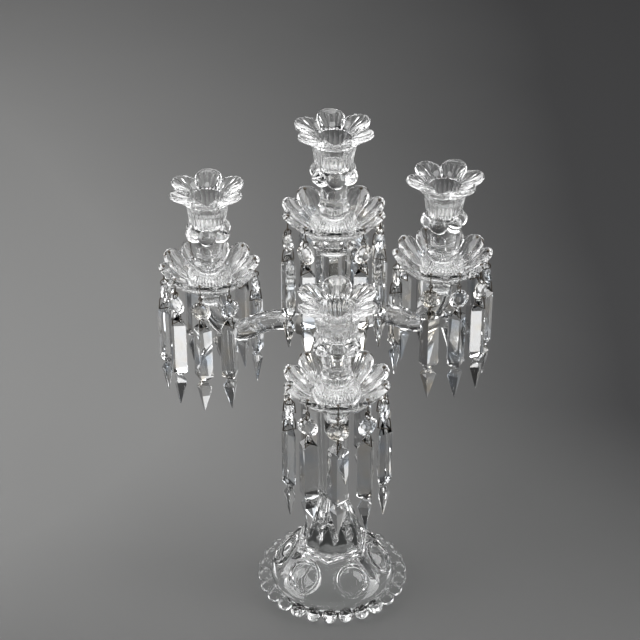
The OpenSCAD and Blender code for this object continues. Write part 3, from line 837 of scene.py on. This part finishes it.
FLOWER_LEVEL = 92.2
FLOWER_TIP = 37.0
TRUMPET_TOP = 21.5
FLOWER_MIDDLE, FLOWER_LOBE = 24.4, 12.6
CABOCHON_LEVEL = 59.7
CABOCHON_RING = 14.0
CANDLE_BORE = 11.25
BORE_FLOOR = 66.2
BORE_TOP = 79.0
THROAT_EDGE = 16.0
NECK_TOP = 48.0
SKIRT_FLUTES, SKIRT_FLUTE_DEPTH = 20, 0.7
RIDGE_DEPTH = 0.9
FLOWER_PETALS = 6
FLOWER_SLOPE = 0.62
FLOWER_SCOOP = 3.2
FLOWER_RIBS, FLOWER_RIB_DEPTH = 6, 0.9
CABOCHONS = 6
NOZZLE_STEPS = 360


def nozzle_profile():
    """Outline of a nozzle from the foot of its peg, round the flower, to the bore's floor."""
    peg = [(0, -20), (6.4, -20), (7, -19.4), (7, 15.6)]
    hollow = curve([(7.8, 16.6), (11.5, 16.4), (15, 14.2), (17.4, 10.6), (18.2, 7),
                    (18.4, 4.9)], 3)
    skirt = curve([(19.4, 4.2), (20.8, 4.8), (21.3, 7.2), (21, 11.4), (19.6, 15.4), (17, 18.6),
                   (14.2, 20.6)], 3)
    collar = curve([(14.05, 21.4), (14.6, 23), (14.6, 25.4), (13.6, 27.4), (12.6, 28.8)], 3)
    neck = curve([(12.2, 32), (12, 40), (12.4, NECK_TOP), (13.4, 52)], 3)
    knop = straight([(14, 53.2), (14.6, 59), (16.4, BORE_FLOOR)], 0.8)
    trumpet = straight(curve([(17, 67), (17.6, 73), (18.8, 81), (TRUMPET_TOP, FLOWER_LEVEL)], 3),
                       1.6)[1:]
    under = curve([(TRUMPET_TOP, FLOWER_LEVEL), (25.5, 95.4), (30, 99), (34.2, 101.6)], 4)[1:]
    lip = arc((35.3, 103.4), 1.7, -55, 110, 6)
    bowl = curve([(33.4, 104), (28.5, 101.8), (22, 99.2), (17.4, 97), (THROAT_EDGE, 96.2)], 4)
    throat = curve([(15.5, 95.4), (15.2, 91), (14.4, 86), (12.4, 81.5), (CANDLE_BORE, BORE_TOP)], 4)
    bore = straight([(CANDLE_BORE, BORE_TOP), (CANDLE_BORE, BORE_FLOOR)], 6)[1:]
    outside = peg + hollow + skirt + collar + neck + knop + trumpet + under
    return outside + lip + bowl + throat + bore + [(0, BORE_FLOOR)]


def under_flower(radius, height):
    """Whether a point of the flower lies on its underside."""
    return height < 94.5 + 0.6 * (radius - TRUMPET_TOP)


def nozzle_rule(radius, angle, height):
    """Flutes on the skirt, cabochons round the knop, ridges on the trumpet, six spoon petals."""
    if height < NECK_TOP:
        reach = blend(5, 7, height) * (1 - blend(15, 20, height))
        flute = rib(phase(angle, SKIRT_FLUTES), 2)
        return radius - SKIRT_FLUTE_DEPTH * reach * flute, height
    if height > BORE_FLOOR - 0.1 and radius < THROAT_EDGE - 0.2:
        return radius, height
    if height < BORE_FLOOR + 3:
        bulge = sizes().cabochon_radius / MM
        across = phase(angle, CABOCHONS) * math.pi / CABOCHONS
        aside = CABOCHON_RING * math.sin(across)
        room = bulge ** 2 - (height - CABOCHON_LEVEL) ** 2 - aside ** 2
        if room > 0:
            radius = max(radius, CABOCHON_RING * math.cos(across) + math.sqrt(room))
        return radius, height
    if height < FLOWER_LEVEL - 0.5:
        ridge = phase(angle, sizes().trumpet_ridges)
        reach = blend(BORE_FLOOR + 2, BORE_FLOOR + 5, height) * (1 - blend(86, 91, height))
        return radius - RIDGE_DEPTH * reach * (1 - ridge * ridge), height
    across = phase(angle, FLOWER_PETALS)
    edge = lobe(FLOWER_MIDDLE, FLOWER_LOBE, across * math.pi / FLOWER_PETALS)
    share = max(radius - TRUMPET_TOP, 0) / (FLOWER_TIP - TRUMPET_TOP)
    drawn = radius if radius < TRUMPET_TOP else TRUMPET_TOP + (edge - TRUMPET_TOP) * share
    fall = FLOWER_SLOPE * (radius - drawn)
    scoop = FLOWER_SCOOP * across * across
    if under_flower(radius, height):
        reach = blend(0, 0.1, share) * (1 - blend(0.8, 0.97, share))
        scoop = scoop * share - rib(across, FLOWER_RIBS) * FLOWER_RIB_DEPTH * reach
    return drawn, height - fall + scoop


class GIRANDOLE_OT_nozzles(bpy.types.Operator):
    """Four candle nozzles with a peg, a ring of cabochons and a flower"""
    bl_idname = "girandole.nozzles"
    bl_label = "Nozzles"

    def execute(self, context):
        nozzle = revolve(nozzle_profile(), NOZZLE_STEPS)
        reshape(nozzle, nozzle_rule)
        for name in LIGHT_NAMES:
            bm = placed(nozzle.copy(), light_place(name), math.radians(FLOWER_TURNS[name]))
            make_piece(f"nozzle_{name}_glass", bm, f"nozzle_{name}",
                       material(moulded_crystal), [f"nozzle_{name}"], crease=40)
        nozzle.free()
        return {"FINISHED"}


# Pendants and hooks, drawn with the hinge at the origin and outward along +X

RING_DROP, RING_RADIUS = 2.0, 3.2
BUTTON_DROP, BUTTON_HOLE = 12.1, 7.35
PRISM_DROP, PRISM_HOLE_DROP = 24.4, 6.5
EYE_RADIUS = 1.7
HOOK_HEAD_RISE, HOOK_HEAD_RADIUS, HOOK_HEAD_FLATNESS = 5.6, 1.7, 0.7
# Count, radius, half thickness and turn in steps of the rings of corners on a button
BUTTON_RINGS = ((8, 4.5, 3.6, 0.5), (8, 7.2, 2.6, 0), (16, 9.5, 1, 0.5))
# Level, width, depth of the ridge and depth of the back along a prism
PRISM_STATIONS = [
    (0, 3, 2.6, 2.4), (-8.5, 18.5, 7, 3.6), (-61, 18.5, 7, 3.6), (-66.5, 7, 3, 2.6),
    (-68, 7, 3, 2.6), (-74, 16, 6, 3.6), (-101, 0.8, 0.4, 0.4)]


def cut_button(bm):
    """Rosette of facets on both faces round a thin girdle."""
    verts = []
    for side in (-1, 1):
        for count, radius, level, turn in BUTTON_RINGS:
            for i in range(count):
                a = TURN * (i + turn) / count
                verts.append(bm.verts.new((side * level, radius * math.cos(a),
                                           radius * math.sin(a) - BUTTON_DROP)))
    hull = bmesh.ops.convex_hull(bm, input=verts)
    inner = [part for part in hull["geom_interior"] if isinstance(part, bmesh.types.BMVert)]
    bmesh.ops.delete(bm, geom=inner, context="VERTS")
    bmesh.ops.dissolve_limit(bm, angle_limit=math.radians(1), verts=bm.verts, edges=bm.edges)


def cut_prism(bm):
    """Gabled bar with a flat back and a ridge in front, drawn in to a neck above a spear point."""
    rings = []
    for level, width, front, back in PRISM_STATIONS:
        w, z = width / 2, level - PRISM_DROP
        edge = 0.15 * front - 0.85 * back
        corners = ((edge, w), (front, 0), (edge, -w), (-back, -0.9 * w), (-back, 0.9 * w))
        rings.append([Vector((*corner, z)) for corner in corners])
    loft(rings, bm)


def pendant_wires(bm):
    """Ring through the hook's eye and the button, and link from the button to the prism."""
    radius = sizes().wire_radius / MM
    wire(bm, arc((0, -RING_DROP), RING_RADIUS, 0, 345, 23), radius, closed=True)
    top, low = -BUTTON_DROP - BUTTON_HOLE, -PRISM_DROP - PRISM_HOLE_DROP
    link = [(-3.2, top), (3.2, top), (4.6, top - 1.2), (5.6, low + 1.4), (5, low), (-5, low),
            (-5.6, low + 1.4), (-4.6, top - 1.2), (-3.2, top)]
    wire(bm, curve(link, 3)[:-1], radius, closed=True)


def twist(index):
    """Turn of a pendant about its length, different for each."""
    return sizes().pendant_twist * math.sin(2.4 * index + 0.7)


class GIRANDOLE_OT_pendants(bpy.types.Operator):
    """Cut buttons and prisms that hang from the pans"""
    bl_idname = "girandole.pendants"
    bl_label = "Pendants"

    def execute(self, context):
        glass, wires = bmesh.new(), bmesh.new()
        cut_button(glass)
        cut_prism(glass)
        pendant_wires(wires)
        for name in LIGHT_NAMES:
            for index, (body, pivot, direction) in enumerate(pendant_places(name)):
                turn = direction + twist(index)
                make_piece(f"{body}_glass", placed(glass.copy(), pivot, turn), body,
                           material(cut_crystal), [body], smooth=False)
                make_piece(f"{body}_wire", placed(wires.copy(), pivot, turn), body,
                           material(tarnished_wire))
        glass.free()
        wires.free()
        return {"FINISHED"}


class GIRANDOLE_OT_hooks(bpy.types.Operator):
    """Wire hooks through the petals of the pans"""
    bl_idname = "girandole.hooks"
    bl_label = "Hooks"

    def execute(self, context):
        radius = sizes().wire_radius / MM
        for name in LIGHT_NAMES:
            seat = light_place(name).z
            hooks = bmesh.new()
            for _, pivot, direction in pendant_places(name):
                hook = bmesh.new()
                wire(hook, arc((0, EYE_RADIUS), EYE_RADIUS, 0, 340, 17), radius, closed=True)
                bmesh.ops.rotate(hook, cent=(0, 0, 0), verts=hook.verts,
                                 matrix=Matrix.Rotation(math.pi / 2, 3, "Z"))
                top = seat + pan_height(HOLE_RING) + HOOK_HEAD_RISE - pivot.z
                wire(hook, [(0, 2 * EYE_RADIUS), (0, top)], radius)
                head = bmesh.ops.create_uvsphere(
                    hook, u_segments=12, v_segments=8, radius=HOOK_HEAD_RADIUS)["verts"]
                bmesh.ops.scale(hook, vec=(1, 1, HOOK_HEAD_FLATNESS), verts=head)
                bmesh.ops.translate(hook, vec=(0, 0, top), verts=head)
                join(hooks, hook, Matrix.Translation(pivot) @ Matrix.Rotation(direction, 4, "Z"))
            make_piece(f"hook_wires_{name}", hooks, f"bobeche_{name}",
                       material(tarnished_wire), [f"hooks_{name}"])
        return {"FINISHED"}


class GIRANDOLE_OT_metalwork(bpy.types.Operator):
    """Plated hub and ferrules and the steel rod, kept as modelled and given their finish"""
    bl_idname = "girandole.metalwork"
    bl_label = "Metalwork"

    def execute(self, context):
        looks = {"hub": silver_plate, "arm_ferrules": silver_plate, "stem_ferrule": silver_plate,
                 "column_ferrule": silver_plate, "hub_rod": threaded_steel}
        for node, make in looks.items():
            mesh = frame["nodes"][node].data
            mesh.materials.clear()
            mesh.materials.append(material(make))
        return {"FINISHED"}


# Stage

CAMERA_PLACE = (-0.0123, -1.5595, 1.3274)
CAMERA_PITCH = math.radians(56.86)
CAMERA_LENS = 113.2
FLOOR_SIZE = (9, 9)
# Place, width and length, and finish of the cards on the floor
CARDS = {
    "card_left": ((-0.72, 0, 0.002), (0.6, 0.8), white_card),
    "card_right": ((0.66, 0, 0.002), (0.48, 0.5), white_card),
    "card_front": ((0, -1.25, 0.002), (2.4, 1.6), black_card),
}
# Place, aim, width and height, and power in watts of the lamps
LAMPS = {
    "panel_left": ((-1.15, 0.1, 0.75), (0, 0, 0.4), (1.0, 1.3), 17),
    "panel_right": ((1.15, 0.1, 0.75), (0, 0, 0.4), (0.7, 1.3), 12),
    "panel_back": ((0, 1.9, 1.25), (0, 0, 0.4), (2.0, 0.7), 20),
    "panel_top": ((0, 0.1, 1.9), (0, 0, 0.3), (1.0, 0.6), 8),
}


class GIRANDOLE_OT_stage(bpy.types.Operator):
    """Grey floor, cards that the glass shows, soft lamps and the camera"""
    bl_idname = "girandole.stage"
    bl_label = "Stage"

    def lamp(self, name, place, aim, size, power):
        """Soft white panel that faces its aim."""
        data = bpy.data.lights.new(name, "AREA")
        data.shape = "RECTANGLE"
        data.size, data.size_y = size
        data.energy = power
        lamp = bpy.data.objects.new(name, data)
        lamp.location = place
        lamp.rotation_euler = (Vector(aim) - Vector(place)).to_track_quat("-Z", "Y").to_euler()
        bpy.context.scene.collection.objects.link(lamp)

    def sheet(self, name, place, size, look, glass_only=False):
        """Flat sheet: the floor, or a card that only the glass shows."""
        bm = bmesh.new()
        made = bmesh.ops.create_grid(bm, x_segments=1, y_segments=1, size=0.5)
        bmesh.ops.scale(bm, vec=(*size, 1), verts=made["verts"])
        bmesh.ops.translate(bm, vec=place, verts=made["verts"])
        mesh = bpy.data.meshes.new(name)
        bm.to_mesh(mesh)
        bm.free()
        mesh.materials.append(look)
        sheet = bpy.data.objects.new(name, mesh)
        bpy.context.scene.collection.objects.link(sheet)
        if glass_only:
            sheet.visible_camera = sheet.visible_diffuse = sheet.visible_shadow = False

    def execute(self, context):
        scene = context.scene
        self.sheet("studio_floor", (0, 0, 0), FLOOR_SIZE, material(floor_with_painted_shade))
        for name, (place, size, make) in CARDS.items():
            self.sheet(name, place, size, material(make), glass_only=True)
        for name, (place, aim, size, power) in LAMPS.items():
            self.lamp(name, place, aim, size, power)
        scene.world = studio_room()
        scene.view_settings.view_transform = "Standard"
        scene.cycles.max_bounces = 24
        scene.cycles.transmission_bounces = 20
        scene.cycles.glossy_bounces = 8
        scene.cycles.transparent_max_bounces = 24
        camera = bpy.data.objects.new("camera", bpy.data.cameras.new("camera"))
        camera.location = CAMERA_PLACE
        camera.rotation_euler = (CAMERA_PITCH, 0, 0)
        camera.data.lens = CAMERA_LENS
        scene.collection.objects.link(camera)
        scene.camera = camera
        return {"FINISHED"}


class GIRANDOLE_PT_panel(bpy.types.Panel):
    """Lists the sizes, finishes and builders of the girandole"""
    bl_idname = "GIRANDOLE_PT_panel"
    bl_label = "Girandole"
    bl_space_type = "VIEW_3D"
    bl_region_type = "UI"
    bl_category = "Girandole"

    def draw(self, context):
        for group in (context.scene.girandole_sizes, context.scene.girandole_finish):
            for name in group.bl_rna.properties.keys():
                if name not in ("rna_type", "name"):
                    self.layout.prop(group, name)
        for builder in BUILDERS:
            self.layout.operator(builder.bl_idname)


BUILDERS = (GIRANDOLE_OT_stage, GIRANDOLE_OT_pedestal, GIRANDOLE_OT_column, GIRANDOLE_OT_arms,
            GIRANDOLE_OT_drip_pans, GIRANDOLE_OT_nozzles, GIRANDOLE_OT_pendants, GIRANDOLE_OT_hooks,
            GIRANDOLE_OT_metalwork)
CLASSES = (GirandoleSizes, GirandoleFinish, *BUILDERS, GIRANDOLE_PT_panel)


def register():
    for cls in CLASSES:
        bpy.utils.register_class(cls)
    bpy.types.Scene.girandole_sizes = PointerProperty(type=GirandoleSizes)
    bpy.types.Scene.girandole_finish = PointerProperty(type=GirandoleFinish)


def unregister():
    del bpy.types.Scene.girandole_finish
    del bpy.types.Scene.girandole_sizes
    for cls in reversed(CLASSES):
        bpy.utils.unregister_class(cls)


def main():
    register()
    bpy.ops.girandole.stage()
    bpy.ops.girandole.pedestal()
    bpy.ops.girandole.column()
    bpy.ops.girandole.arms()
    bpy.ops.girandole.drip_pans()
    bpy.ops.girandole.nozzles()
    bpy.ops.girandole.pendants()
    bpy.ops.girandole.hooks()
    bpy.ops.girandole.metalwork()


if __name__ == "__main__":
    main()
